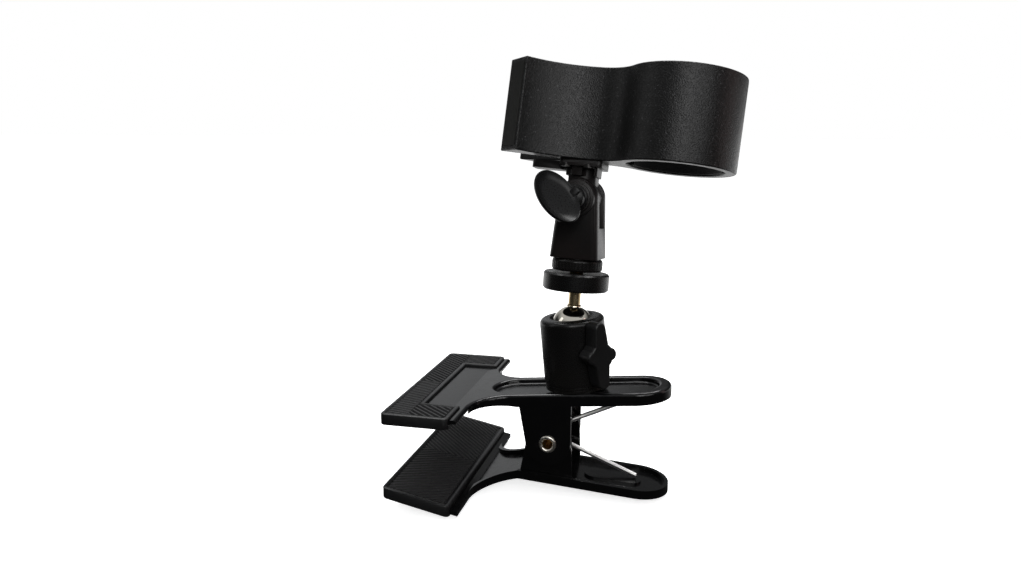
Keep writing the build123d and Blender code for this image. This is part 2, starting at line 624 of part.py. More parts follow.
def clip_neck():
    tongue = along_y(0, 0, TONGUE_RADIUS, -TONGUE_THICKNESS / 2, TONGUE_THICKNESS / 2)
    web = TONGUE_WEB / 2
    tongue += block(-web, web, -TONGUE_THICKNESS / 2, TONGUE_THICKNESS / 2, 0, NECK_RISE - 3)
    body = TILT * tongue
    wide, deep, high = NECK_PLATE
    plate = Pos(0, 0, -high / 2) * Box(wide, deep, high)
    plate = fillet(plate.edges().filter_by(Axis.Z), 1.6)
    low = NECK_BLOCK
    shape = Pos(0, 0, -high - low[2] / 2 + 0.5) * Box(low[0], low[1], low[2] + 1)
    shape = fillet(shape.edges().filter_by(Axis.Z), 1.2)
    start, end, half, bottom, top = NECK_LUG
    lug = block(start, end, -half, half, bottom, top)
    lug = fillet(lug.edges().filter_by(Axis.Z).group_by(Axis.X)[0], NECK_LUG_ROUND)
    body += CLIP * (plate + shape + lug)
    body -= TILT * along_y(0, 0, BOLT_RADIUS + RUNNING, -FAR, FAR)
    for x in NECK_SCREW_X:
        body -= CLIP * Pos(x, NECK_SCREW_Y, 0) * upright(NECK_SCREW_RADIUS, -FAR / 10, 1)
        body -= CLIP * Pos(x, NECK_SCREW_Y, 0) * upright(NECK_SCREW_HEAD, -FAR / 10, -high + 0.8)
    return body


def neck_screws():
    parts = []
    for x in NECK_SCREW_X:
        top = -NECK_PLATE[2] + 0.8
        head = upright(NECK_SCREW_HEAD - RUNNING, top - 1.4, top)
        shank = upright(NECK_SCREW_RADIUS, top, top + NECK_SCREW_LENGTH)
        parts.append(CLIP * Pos(x, NECK_SCREW_Y, 0) * (head + shank))
    return Compound(parts)


def friction_washer(side):
    inner = side * TONGUE_THICKNESS / 2
    outer = side * (TONGUE_THICKNESS / 2 + FRICTION_THICKNESS)
    low, high = sorted((inner, outer))
    ring = along_y(0, 0, FRICTION_RADIUS, low, high)
    return TILT * (ring - along_y(0, 0, BOLT_RADIUS + RUNNING, low - 1, high + 1))


def waist_x():
    """X of the waist from the ring's centre."""
    return -sqrt((RING_RADIUS + WAIST_BLEND) ** 2 - (WAIST_HALF + WAIST_BLEND) ** 2)


def grip_points():
    """The grip's end in the -Y jaw, from the ring's centre: arc centre, turn, outer and inner corner."""
    turn = asin((waist_x() - GRIP_END) / GRIP_BLEND)
    centre = (waist_x(), -WAIST_HALF - GRIP_BLEND)
    outer = on_circle(centre, GRIP_BLEND, pi / 2 + turn)
    slope = tan(radians(SPREAD))
    depth = (-outer[1] - slope * (waist_x() - outer[0])) / (cos(turn) + slope * sin(turn))
    inner = (outer[0] - depth * sin(turn), outer[1] + depth * cos(turn))
    return centre, turn, outer, inner


def jaw_plan():
    """Plan of the -Y jaw about the ring's centre."""
    neck = (waist_x(), -WAIST_HALF - WAIST_BLEND)
    reach = RING_RADIUS + WAIST_BLEND
    touch = (neck[0] * RING_RADIUS / reach, neck[1] * RING_RADIUS / reach)
    start = (sqrt(RING_RADIUS**2 - SPLIT**2), -SPLIT)
    ring_middle = on_circle((0, 0), RING_RADIUS, (atan2(touch[1], touch[0]) - 0.01) / 2)
    waist = (waist_x(), -WAIST_HALF)
    turn = (atan2(touch[1] - neck[1], touch[0] - neck[0]) + pi / 2) / 2
    blend_middle = on_circle(neck, WAIST_BLEND, turn)
    centre, swing, outer, inner = grip_points()
    grip_middle = on_circle(centre, GRIP_BLEND, pi / 2 + swing / 2)
    slope = tan(radians(SPREAD))
    root = (waist_x() - SPLIT / slope, -SPLIT)
    edges = [
        ThreePointArc(start, ring_middle, touch),
        ThreePointArc(touch, blend_middle, waist),
        ThreePointArc(waist, grip_middle, outer),
        Line(outer, inner),
        Line(inner, root),
        Line(root, start),
    ]
    return make_face(edges) - Circle(RING_RADIUS - RING_WALL)


def jaw_edge(edge):
    """Whether a clip jaw's edge is rounded: all but those where the two jaws meet."""
    box = edge.bounding_box()
    meets = box.min.Y > -SPLIT - 1
    grip_corner = box.size.Z > KNUCKLE_HIGH and box.max.X < GRIP_END + 0.1
    return grip_corner or box.size.Z < 0.1 and not meets


def clip_jaw(low, high, knuckles, cuts):
    """The -Y jaw between two heights, with its knuckles, in the clip's frame."""
    body = extrude(Pos(0, 0, low) * jaw_plan(), amount=high - low)
    body = fillet([e for e in body.edges() if jaw_edge(e)], JAW_EDGE)
    hinge = Pos(waist_x(), 0, 0)
    for start, end in knuckles:
        body += hinge * upright(KNUCKLE_RADIUS, start, end)
    for start, end in cuts:
        body -= hinge * upright(KNUCKLE_RADIUS + KNUCKLE_GAP, start, end)
    return Pos(RING_X, 0, 0) * body


def mirrored(body):
    """The +Y twin of a piece in the clip's frame."""
    return mirror(body, about=Plane.XZ)


HINGE = Pos(RING_X, 0, 0) * Pos(waist_x(), 0, 0)


def front_jaw():
    knuckles = [(0, KNUCKLE_LOW), (KNUCKLE_HIGH, CLIP_HEIGHT)]
    cuts = [(KNUCKLE_LOW, KNUCKLE_HIGH)]
    body = clip_jaw(0, CLIP_HEIGHT, knuckles, cuts)
    body -= HINGE * upright(PIN_RADIUS, -1, FAR)
    for x in NECK_SCREW_X:
        depth = NECK_SCREW_LENGTH - NECK_PLATE[2] + 0.8 + 0.5
        body -= Pos(x, NECK_SCREW_Y, 0) * upright(NECK_SCREW_RADIUS, -1, depth)
    return CLIP * (body - grip_recess())


def rear_jaw():
    low = REAR_LIFT
    high = CLIP_HEIGHT - REAR_LIFT
    knuckles = [(REAR_KNUCKLE, KNUCKLE_HIGH - KNUCKLE_GAP)]
    cuts = [(0, REAR_KNUCKLE), (KNUCKLE_HIGH - KNUCKLE_GAP, CLIP_HEIGHT)]
    body = clip_jaw(low, high, knuckles, cuts) - grip_recess()
    body = mirrored(body)
    return CLIP * (body - HINGE * upright(PIN_RADIUS + RUNNING, -1, FAR))


def cap_place():
    """The middle of the -Y grip's end, with X along it and +Y out of it, and its length."""
    outer, inner = grip_points()[2:]
    run = (inner[0] - outer[0], inner[1] - outer[1])
    place = Pos((outer[0] + inner[0]) / 2 + RING_X, (outer[1] + inner[1]) / 2, CLIP_HEIGHT / 2)
    return place * Rot(0, 0, degrees(atan2(run[1], run[0]))), sqrt(run[0] ** 2 + run[1] ** 2)


def cap_plate(gap, proud):
    """A plate in the -Y grip's end, smaller all round by the gap, that stands a little proud."""
    place, length = cap_place()
    width = length - 2 * (CAP_BORDER + gap)
    height = CLIP_HEIGHT - 2 * (CAP_BORDER + REAR_LIFT + gap)
    return place * block(-width / 2, width / 2, -GRIP_CAP + gap, proud, -height / 2, height / 2)


def grip_recess():
    """Seat of the end cap in the -Y grip."""
    return cap_plate(0.0, 1.0)


def grip_cap():
    """A smooth plate let into the end of the -Y grip."""
    return cap_plate(RUNNING, 0.15)


def liner(low, high):
    """Rubber inside the -Y half of the ring."""
    outer = RING_RADIUS - RING_WALL
    ring = upright(outer, low, high) - upright(outer - LINER, low - 1, high + 1)
    half = (180 - LINER_SPAN) / 2
    wedge = extrude(
        make_face(
            Polyline(
                (0, 0),
                (FAR * cos(radians(-half)), FAR * sin(radians(-half))),
                (0, -2 * FAR),
                (-FAR * cos(radians(-half)), FAR * sin(radians(-half))),
                close=True,
            )
        ),
        amount=FAR,
    )
    return Pos(RING_X, 0, 0) * (ring & wedge)


def jaw_pin():
    body = HINGE * upright(PIN_RADIUS, 0.3, CLIP_HEIGHT - 0.3)
    return CLIP * body


def jaw_coil(start, end):
    """The envelope of a stretch of the clip spring's coil."""
    outer = upright(JAW_SPRING_MEAN + JAW_WIRE / 2, start, end)
    return HINGE * (outer - upright(JAW_SPRING_MEAN - JAW_WIRE / 2, start - 1, end + 1))


def jaw_leg(height, side):
    """A leg of the clip spring beside a grip's inner face."""
    turn = radians(180 - side * (SPREAD - 6.0))
    start = (JAW_SPRING_MEAN * cos(turn), JAW_SPRING_MEAN * sin(turn), height)
    end = (JAW_LEG * cos(turn), JAW_LEG * sin(turn), height)
    return HINGE * rod(start, end, JAW_WIRE * LEG_SHARE)


JAW_COIL_LOW = KNUCKLE_LOW + KNUCKLE_GAP
JAW_COIL_HIGH = REAR_KNUCKLE - KNUCKLE_GAP


def jaw_spring():
    body = jaw_coil(JAW_COIL_LOW, JAW_COIL_HIGH - JAW_WIRE - KNUCKLE_GAP)
    return CLIP * (body + jaw_leg(JAW_COIL_LOW + JAW_WIRE / 2, -1))


def jaw_spring_arm():
    body = jaw_coil(JAW_COIL_HIGH - JAW_WIRE, JAW_COIL_HIGH)
    return CLIP * (body + jaw_leg(JAW_COIL_HIGH - JAW_WIRE / 2, 1))


NODES = {
    "upper_jaw_plate": upper_jaw_plate,
    "upper_jaw_pad": lambda: pad([UPPER_LINE[0], (FAR, UPPER_PLATE)], UPPER_LINE, True),
    "lower_jaw_plate": lower_jaw_plate,
    "lower_jaw_pad": lambda: pad(LOWER_LINE[:2], LOWER_LINE, False),
    "pivot_rivet": pivot_rivet,
    "clamp_spring": clamp_spring,
    "clamp_spring_arm": clamp_spring_arm,
    "housing_base": housing_base,
    "ball_housing": ball_housing,
    "housing_screw": housing_screw,
    "housing_washer": housing_washer,
    "ball_seat": ball_seat,
    "clutch_plug": clutch_plug,
    "lock_screw": lock_screw,
    "lock_knob": lock_knob,
    "ball_stud": ball_stud,
    "platform_disc": platform_disc,
    "thread_adapter": thread_adapter,
    "swivel_yoke": swivel_yoke,
    "tilt_nut": tilt_nut,
    "tilt_bolt": tilt_bolt,
    "tilt_paddle": tilt_paddle,
    "clip_neck": clip_neck,
    "neck_screws": neck_screws,
    "friction_washer_front": lambda: friction_washer(-1),
    "friction_washer_rear": lambda: friction_washer(1),
    "front_jaw": front_jaw,
    "rear_jaw": rear_jaw,
    "front_grip_cap": lambda: CLIP * grip_cap(),
    "rear_grip_cap": lambda: CLIP * mirrored(grip_cap()),
    "front_liner": lambda: CLIP * liner(0.6, CLIP_HEIGHT - 0.6),
    "rear_liner": lambda: CLIP * mirrored(liner(0.6 + REAR_LIFT, CLIP_HEIGHT - 0.6 - REAR_LIFT)),
    "jaw_pin": jaw_pin,
    "jaw_spring": jaw_spring,
    "jaw_spring_arm": jaw_spring_arm,
}

os.makedirs("parts", exist_ok=True)
for name, make in NODES.items():
    export_step(make(), f"parts/{name}.step")
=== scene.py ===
"""A desk clamp with a small ball head that carries a sprung clip for a pickup or microphone.

Metres throughout. +X runs from the jaws to the handles, +Y along the pads and +Z is up.
"""

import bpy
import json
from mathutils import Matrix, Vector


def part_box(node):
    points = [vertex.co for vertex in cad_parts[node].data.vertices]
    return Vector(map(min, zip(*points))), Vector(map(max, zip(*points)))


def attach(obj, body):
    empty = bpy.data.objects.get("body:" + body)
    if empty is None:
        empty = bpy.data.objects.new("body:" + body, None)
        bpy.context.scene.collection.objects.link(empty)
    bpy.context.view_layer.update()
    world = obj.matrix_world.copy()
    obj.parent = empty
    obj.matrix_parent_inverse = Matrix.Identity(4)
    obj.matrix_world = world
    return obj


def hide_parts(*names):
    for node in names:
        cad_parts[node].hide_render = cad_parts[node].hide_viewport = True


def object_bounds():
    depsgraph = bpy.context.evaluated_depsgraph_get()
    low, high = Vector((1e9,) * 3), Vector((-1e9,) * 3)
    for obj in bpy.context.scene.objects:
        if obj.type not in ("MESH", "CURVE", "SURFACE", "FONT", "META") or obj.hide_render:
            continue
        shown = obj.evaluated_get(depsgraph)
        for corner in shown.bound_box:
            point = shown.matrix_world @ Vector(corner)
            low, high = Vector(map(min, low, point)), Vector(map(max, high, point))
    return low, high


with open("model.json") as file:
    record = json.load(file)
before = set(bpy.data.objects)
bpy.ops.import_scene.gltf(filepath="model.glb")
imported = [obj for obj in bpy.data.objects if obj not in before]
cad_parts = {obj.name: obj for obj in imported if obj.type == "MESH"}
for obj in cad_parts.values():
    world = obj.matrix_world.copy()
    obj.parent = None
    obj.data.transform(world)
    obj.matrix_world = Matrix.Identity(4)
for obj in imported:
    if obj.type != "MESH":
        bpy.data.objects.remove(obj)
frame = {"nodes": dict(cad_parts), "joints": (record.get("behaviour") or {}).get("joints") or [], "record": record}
cad_box = [list(corner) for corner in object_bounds()]

import json
import logging
from collections.abc import Callable
from dataclasses import dataclass
from enum import Enum
from math import acos, atan2, cos, hypot, pi, radians, sin

import bmesh
import bpy
from mathutils import Matrix, Vector

log = logging.getLogger("clamp")
MM = 0.001
UP = Vector((0, 0, 1))
WELD = 0.001 * MM
WHITE = (1.0, 1.0, 1.0)
Colour = tuple[float, float, float]
Span = tuple[float, float]


# ---------------------------------------------------------------- finishes


class Grain(Enum):
    """How a surface is broken up when it is seen close to."""

    PEBBLE = "pebble"
    SAND = "sand"
    PEEL = "peel"
    DRAWN = "drawn"


@dataclass(frozen=True)
class Finish:
    """One surface finish, with the colour, gloss and grain of its own material.

    Scales are per metre and depths in metres. The colour drifts to the tint in soft clouds, and
    the dust share is how much of the surface's pale specks shows: dust on most finishes, but on
    the pebbled clip mostly painted glints that stand in for highlights off the grain. Specks and
    the fine part of a pebbled grain have scales of their own, as shares of the grain's.
    """

    name: str
    slot: str
    colour: Colour
    tint: Colour
    rough: tuple[float, float]
    grain: Grain
    grain_scale: float
    grain_depth: float
    metallic: float = 0.0
    specular: float = 0.5
    coat: float = 0.0
    coat_rough: float = 0.08
    cloud_scale: float = 45.0
    dust_and_glints: float = 0.0
    dust_and_glint_colour: Colour = (0.10, 0.10, 0.105)
    stretch: tuple[float, float, float] = (1.0, 1.0, 1.0)
    speck_share: float = 0.6
    fine_share: float = 1.7
    pebble_soft: float = 0.4
    cloud_lift: float = 2.0

    def material(self) -> bpy.types.Material:
        """Make the finish's material, or find it if it is made already.

        Returns:
            The material, the same one each time.
        """
        made = bpy.data.materials.get(self.name)
        if made:
            return made
        material = bpy.data.materials.new(self.name)
        material.use_nodes = True
        wiring = Wiring(material.node_tree)
        wiring.tree.nodes.clear()
        where = wiring.add("ShaderNodeTexCoord").outputs["Object"]
        grain_place = wiring.add("ShaderNodeMapping", Vector=where)
        grain_place.inputs["Scale"].default_value = self.stretch
        cloud = wiring.noise(where, self.cloud_scale, 3.0)
        fine = self._grain(wiring, grain_place.outputs["Vector"])
        # pale specks: dust on most finishes; where the dust share is high, as on the pebbled clip, they are
        # painted glints standing in for highlights off the grain
        specks = wiring.noise(where, self.grain_scale * self.speck_share, 1.0)
        dust_and_glint_speck = wiring.spread(specks, 0.66, 0.78, 0.0, self.dust_and_glints)
        tone = wiring.blend(wiring.spread(cloud, 0.35, 0.65, 0.0, 1.0), self.colour, self.tint)
        tone = wiring.blend(dust_and_glint_speck, tone, self.dust_and_glint_colour)
        bump = wiring.bump(fine, self.grain_depth)
        bump = wiring.bump(cloud, self.grain_depth * self.cloud_lift, bump)
        shader = wiring.add("ShaderNodeBsdfPrincipled", Normal=bump)
        wiring.tree.links.new(tone, shader.inputs["Base Color"])
        low, high = self.rough
        wiring.tree.links.new(wiring.spread(fine, 0.25, 0.75, low, high), shader.inputs["Roughness"])
        shader.inputs["Metallic"].default_value = self.metallic
        shader.inputs["Specular IOR Level"].default_value = self.specular
        shader.inputs["Coat Weight"].default_value = self.coat
        shader.inputs["Coat Roughness"].default_value = self.coat_rough
        wiring.add("ShaderNodeOutputMaterial", Surface=shader.outputs["BSDF"])
        return material

    def _grain(self, wiring: "Wiring", where: bpy.types.NodeSocket) -> bpy.types.NodeSocket:
        """Add the texture of the finish's grain.

        Args:
            wiring: The material's nodes.
            where: Coordinates that the texture reads.

        Returns:
            The texture's value.
        """
        if self.grain is Grain.PEBBLE:
            cells = wiring.add("ShaderNodeTexVoronoi", Vector=where)
            cells.feature = "SMOOTH_F1"
            cells.inputs["Scale"].default_value = self.grain_scale
            cells.inputs["Smoothness"].default_value = self.pebble_soft
            bumps = wiring.spread(cells.outputs["Distance"], 0.0, 0.7, 1.0, 0.0)
            fine = wiring.noise(where, self.grain_scale * self.fine_share, 2.0)
            return wiring.maths("MULTIPLY", bumps, fine)
        if self.grain is Grain.PEEL:
            return wiring.noise(where, self.grain_scale, 1.0)
        return wiring.noise(where, self.grain_scale, 4.0)


@dataclass
class Wiring:
    """The nodes of one material, with short ways to add the ones that finishes share."""

    tree: bpy.types.NodeTree

    def add(self, kind: str, **sources: bpy.types.NodeSocket) -> bpy.types.Node:
        """Add a node.

        Args:
            kind: Blender's name of the node's type.
            sources: Output to link to each named input.

        Returns:
            The node.
        """
        node = self.tree.nodes.new(kind)
        for name, source in sources.items():
            self.tree.links.new(source, node.inputs[name])
        return node

    def noise(self, where: bpy.types.NodeSocket, scale: float, detail: float) -> bpy.types.NodeSocket:
        """Add a noise.

        Args:
            where: Coordinates that it reads.
            scale: Cells per metre.
            detail: How many finer octaves it has.

        Returns:
            Its value.
        """
        node = self.add("ShaderNodeTexNoise", Vector=where)
        node.inputs["Scale"].default_value = scale
        node.inputs["Detail"].default_value = detail
        return node.outputs["Fac"]

    def spread(
        self, value: bpy.types.NodeSocket, low: float, high: float, start: float, end: float
    ) -> bpy.types.NodeSocket:
        """Map a value from one range to another.

        Args:
            value: The value.
            low: Start of its own range.
            high: End of its own range.
            start: What the low end becomes.
            end: What the high end becomes.

        Returns:
            The mapped value.
        """
        node = self.add("ShaderNodeMapRange", Value=value)
        for name, number in (("From Min", low), ("From Max", high), ("To Min", start), ("To Max", end)):
            node.inputs[name].default_value = number
        return node.outputs["Result"]

    def maths(
        self, operation: str, first: bpy.types.NodeSocket, second: bpy.types.NodeSocket
    ) -> bpy.types.NodeSocket:
        """Work out one value from two.

        Args:
            operation: Blender's name of the operation.
            first: The first value.
            second: The second value.

        Returns:
            The result.
        """
        node = self.tree.nodes.new("ShaderNodeMath")
        node.operation = operation
        self.tree.links.new(first, node.inputs[0])
        self.tree.links.new(second, node.inputs[1])
        return node.outputs[0]

    def blend(
        self, share: bpy.types.NodeSocket, first: Colour | bpy.types.NodeSocket, second: Colour
    ) -> bpy.types.NodeSocket:
        """Mix two colours.

        Args:
            share: How much of the second shows.
            first: A colour, or an output that gives one.
            second: A colour.

        Returns:
            The mixed colour.
        """
        node = self.tree.nodes.new("ShaderNodeMix")
        node.data_type = "RGBA"
        self.tree.links.new(share, node.inputs[0])
        if isinstance(first, tuple):
            node.inputs[6].default_value = (*first, 1.0)
        else:
            self.tree.links.new(first, node.inputs[6])
        node.inputs[7].default_value = (*second, 1.0)
        return node.outputs[2]

    def bump(
        self, height: bpy.types.NodeSocket, depth: float, before: bpy.types.NodeSocket | None = None
    ) -> bpy.types.NodeSocket:
        """Add a bump.

        Args:
            height: The height it follows.
            depth: Metres from its lowest to its highest.
            before: A bump that it goes on top of.

        Returns:
            Its normal.
        """
        node = self.add("ShaderNodeBump", Height=height)
        node.inputs["Distance"].default_value = depth
        if before:
            self.tree.links.new(before, node.inputs["Normal"])
        return node.outputs["Normal"]


ENAMEL = Finish(
    "gloss_black_enamel", "black_paint", (0.0018, 0.0018, 0.002), (0.003, 0.003, 0.0033), (0.12, 0.22),
    Grain.PEEL, 420.0, 0.000012, specular=0.40, dust_and_glints=0.02,
)
PAD_RUBBER = Finish(
    "moulded_pad_rubber", "pad_rubber", (0.007, 0.007, 0.0072), (0.012, 0.012, 0.0125), (0.34, 0.52),
    Grain.SAND, 1400.0, 0.00003, specular=0.36, dust_and_glints=0.15,
)
NICKEL = Finish(
    "bright_nickel", "nickel", (0.86, 0.83, 0.76), (0.70, 0.66, 0.58), (0.20, 0.36),
    Grain.SAND, 900.0, 0.000006, metallic=1.0,
)
SPRING_WIRE = Finish(
    "bright_drawn_wire", "spring_steel", (0.90, 0.89, 0.87), (0.74, 0.73, 0.72), (0.28, 0.44),
    Grain.DRAWN, 700.0, 0.000008, metallic=1.0, stretch=(0.25, 1.0, 1.0),
)
ZINC = Finish(
    "zinc_plate", "zinc_steel", (0.50, 0.50, 0.48), (0.36, 0.36, 0.37), (0.25, 0.42),
    Grain.SAND, 1100.0, 0.000012, metallic=1.0,
)
ANODISED = Finish(
    "satin_black_anodise", "black_anodised", (0.004, 0.004, 0.0042), (0.007, 0.0065, 0.006), (0.22, 0.34),
    Grain.SAND, 2600.0, 0.000003, specular=0.30, dust_and_glints=0.03,
)
BLACKED = Finish(
    "blackened_steel", "zinc_steel", (0.03, 0.03, 0.032), (0.05, 0.048, 0.045), (0.35, 0.5),
    Grain.SAND, 1100.0, 0.00001, metallic=1.0,
)
BRASS = Finish(
    "turned_brass", "brass_plug", (0.60, 0.40, 0.15), (0.45, 0.29, 0.10), (0.25, 0.40),
    Grain.DRAWN, 900.0, 0.000008, metallic=1.0,
)
NYLON = Finish(
    "natural_nylon", "seat_nylon", (0.62, 0.61, 0.56), (0.52, 0.51, 0.46), (0.40, 0.55),
    Grain.SAND, 900.0, 0.00001,
)
CHROME = Finish(
    "polished_chrome", "chrome_ball", (0.88, 0.84, 0.75), (0.78, 0.72, 0.60), (0.04, 0.10),
    Grain.PEEL, 300.0, 0.000003, metallic=1.0,
)
PLATED_NECK = Finish(
    "warm_plated_neck", "chrome_ball", (0.86, 0.70, 0.42), (0.70, 0.52, 0.28), (0.16, 0.34),
    Grain.DRAWN, 500.0, 0.000006, metallic=1.0, stretch=(1.0, 1.0, 0.2),
)
KNOB_PLASTIC = Finish(
    "fine_grain_knob", "knob_plastic", (0.007, 0.007, 0.0072), (0.011, 0.011, 0.0115), (0.34, 0.50),
    Grain.PEBBLE, 2200.0, 0.00002, specular=0.35, dust_and_glints=0.10,
)
PADDLE_PLASTIC = Finish(
    "polished_paddle", "knob_plastic", (0.005, 0.005, 0.0052), (0.008, 0.008, 0.0082), (0.24, 0.34),
    Grain.SAND, 1800.0, 0.000006, specular=0.22,
)
YOKE_PLASTIC = Finish(
    "satin_black_nylon", "yoke_plastic", (0.006, 0.006, 0.0062), (0.012, 0.009, 0.0085), (0.34, 0.48),
    Grain.SAND, 1500.0, 0.000014, specular=0.32, dust_and_glints=0.06,
)
# its strong pale specks are mostly painted glints, standing in for light sparkling off the pebbled grain, with a
# little dust
CLIP_PLASTIC = Finish(
    "pebbled_clip_plastic", "clip_plastic", (0.0055, 0.0055, 0.0055), (0.008, 0.008, 0.008), (0.34, 0.60),
    Grain.PEBBLE, 2100.0, 0.00013, specular=0.34, dust_and_glints=0.55,
)
CAP_PLASTIC = Finish(
    "smooth_cap_plastic", "cap_plastic", (0.008, 0.008, 0.0072), (0.013, 0.013, 0.0115), (0.28, 0.40),
    Grain.SAND, 1800.0, 0.00001, specular=0.35,
)
FIBRE = Finish(
    "brown_fibre", "washer_fibre", (0.10, 0.06, 0.035), (0.16, 0.10, 0.06), (0.6, 0.8),
    Grain.SAND, 1300.0, 0.00003,
)
LINER = Finish(
    "soft_liner_rubber", "liner_rubber", (0.006, 0.006, 0.0065), (0.011, 0.011, 0.012), (0.55, 0.75),
    Grain.SAND, 1500.0, 0.00003,
)


# ---------------------------------------------------------------- shared steps


def joint_line(name: str) -> tuple[Vector, Vector]:
    """Find where a joint turns.

    Args:
        name: The joint's name in the record.

    Returns:
        A point on its axis and the axis's direction.
    """
    found = next(j for j in frame["joints"] if j["name"] == name)
    return Vector(found["pos_m"]), Vector(found["axis"]).normalized()


def placing(origin: Vector, across: Vector, up: Vector) -> Matrix:
    """Build the matrix of a local frame.

    Args:
        origin: Its origin.
        across: Its X, made square to Z here.
        up: Its Z.

    Returns:
        The matrix from the local frame to the whole object's.
    """
    z = up.normalized()
    x = (across - z * across.dot(z)).normalized()
    turn = Matrix((x, z.cross(x), z)).transposed().to_4x4()
    return Matrix.Translation(origin) @ turn


def dress(finish: Finish, *names: str) -> None:
    """Give CAD nodes a finish.

    Args:
        finish: The finish.
        names: The nodes.
    """
    for name in names:
        node = frame["nodes"][name]
        for slot in node.material_slots:
            slot.material = finish.material()
        log.info("dressed %s in %s", name, finish.name)


def merged_copy(name: str) -> bmesh.types.BMesh:
    """Copy a CAD node's mesh, with its loose triangles joined into clean faces.

    Args:
        name: The node.

    Returns:
        The joined copy.
    """
    bm = bmesh.new()
    bm.from_mesh(frame["nodes"][name].data)
    bmesh.ops.remove_doubles(bm, verts=bm.verts, dist=2 * WELD)
    bmesh.ops.dissolve_limit(bm, angle_limit=radians(0.5), verts=bm.verts, edges=bm.edges)
    return bm


def hand_over(
    bm: bmesh.types.BMesh, name: str, body: str, finish: Finish, *replaced: str, sharp: float = 32.0
) -> bpy.types.Object:
    """Turn finished geometry into a piece of the object.

    Args:
        bm: The geometry, already in its place. It is freed here.
        name: The piece's name.
        body: The CAD body it rides on.
        finish: Its finish.
        replaced: CAD nodes it stands for.
        sharp: Degrees past which an edge stays crisp.

    Returns:
        The piece.
    """
    bmesh.ops.remove_doubles(bm, verts=bm.verts, dist=WELD)
    bmesh.ops.recalc_face_normals(bm, faces=bm.faces)
    mesh = bpy.data.meshes.new(name)
    bm.to_mesh(mesh)
    bm.free()
    mesh.polygons.foreach_set("use_smooth", [True] * len(mesh.polygons))
    mesh.set_sharp_from_angle(angle=radians(sharp))
    mesh.materials.append(finish.material())
    piece = bpy.data.objects.new(name, mesh)
    bpy.context.scene.collection.objects.link(piece)
    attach(piece, body)
    if replaced:
        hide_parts(*replaced)
    log.info("made %s on %s, %d faces", name, body, len(mesh.polygons))
    return piece


def paint(piece: bpy.types.Object, finish: Finish, covers: Callable[[Vector], bool]) -> None:
    """Give some of a piece's faces a second finish.

    Args:
        piece: The piece.
        finish: The finish.
        covers: Says from a face's middle whether the face has it.
    """
    piece.data.materials.append(finish.material())
    for face in piece.data.polygons:
        face.material_index = int(covers(face.center))


def add_to(bm: bmesh.types.BMesh, part: bmesh.types.BMesh, place: Matrix) -> None:
    """Move one piece of geometry into another.

    Args:
        bm: The geometry that grows.
        part: What is added, freed here.
        place: Where it goes.
    """
    bmesh.ops.transform(part, matrix=place, verts=part.verts)
    mesh = bpy.data.meshes.new("part")
    part.to_mesh(mesh)
    part.free()
    bm.from_mesh(mesh)
    bpy.data.meshes.remove(mesh)


def turned(profile: list[tuple[float, float]], steps: int = 64) -> bmesh.types.BMesh:
    """Spin a profile about Z into a closed turned piece.

    Args:
        profile: Radius and height of each point, from the bottom up.
        steps: Faces round it.

    Returns:
        The turned geometry.
    """
    bm = bmesh.new()
    verts = [bm.verts.new((radius, 0, height)) for radius, height in profile]
    edges = [bm.edges.new(pair) for pair in zip(verts, verts[1:])]
    bmesh.ops.spin(
        bm, geom=verts + edges, cent=(0, 0, 0), axis=UP, dvec=(0, 0, 0), angle=2 * pi, steps=steps,
        use_merge=True,
    )
    bmesh.ops.remove_doubles(bm, verts=bm.verts, dist=WELD)
    return bm


def drawn(path: list[Vector], radius: float, sides: int = 14) -> bmesh.types.BMesh:
    """Draw a round wire along a path.

    Args:
        path: Points of its centre line.
        radius: The wire's radius.
        sides: Faces round it.

    Returns:
        The wire, closed at both ends.
    """
    bm = bmesh.new()
    ring = bmesh.ops.create_circle(bm, cap_ends=True, radius=radius, segments=sides)["verts"]
    ahead = (path[1] - path[0]).normalized()
    turn = UP.rotation_difference(ahead).to_matrix().to_4x4()
    bmesh.ops.transform(bm, matrix=Matrix.Translation(path[0]) @ turn, verts=ring)
    rim = list(bm.edges)
    for i in range(1, len(path)):
        after = path[min(i + 1, len(path) - 1)] - path[i - 1]
        grown = bmesh.ops.extrude_edge_only(bm, edges=rim)["geom"]
        ring = [g for g in grown if isinstance(g, bmesh.types.BMVert)]
        fresh = set(ring)
        rim = [g for g in grown if isinstance(g, bmesh.types.BMEdge) and fresh.issuperset(g.verts)]
        turn = ahead.rotation_difference(after).to_matrix().to_4x4()
        step = Matrix.Translation(path[i]) @ turn @ Matrix.Translation(-path[i - 1])
        bmesh.ops.transform(bm, matrix=step, verts=ring)
        ahead = after.normalized()
    bmesh.ops.contextual_create(bm, geom=rim)
    return bm


def softened(name: str, body: str, finish: Finish, width: float, angle: float = 35.0) -> bpy.types.Object:
    """Replace a moulded CAD node with the same shape, its crisp edges rounded.

    Args:
        name: The node.
        body: The body it rides on.
        finish: Its finish.
        width: How far the rounding reaches.
        angle: Degrees past which an edge is rounded.

    Returns:
        The piece.
    """
    bm = merged_copy(name)
    crisp = [e for e in bm.edges if e.is_manifold and e.calc_face_angle(0.0) > radians(angle)]
    bmesh.ops.bevel(
        bm, geom=crisp, offset=width, offset_type="OFFSET", segments=2, profile=0.5,
        affect="EDGES", material=-1, clamp_overlap=True,
    )
    return hand_over(bm, name + "_softened", body, finish, name)


# ---------------------------------------------------------------- clamp


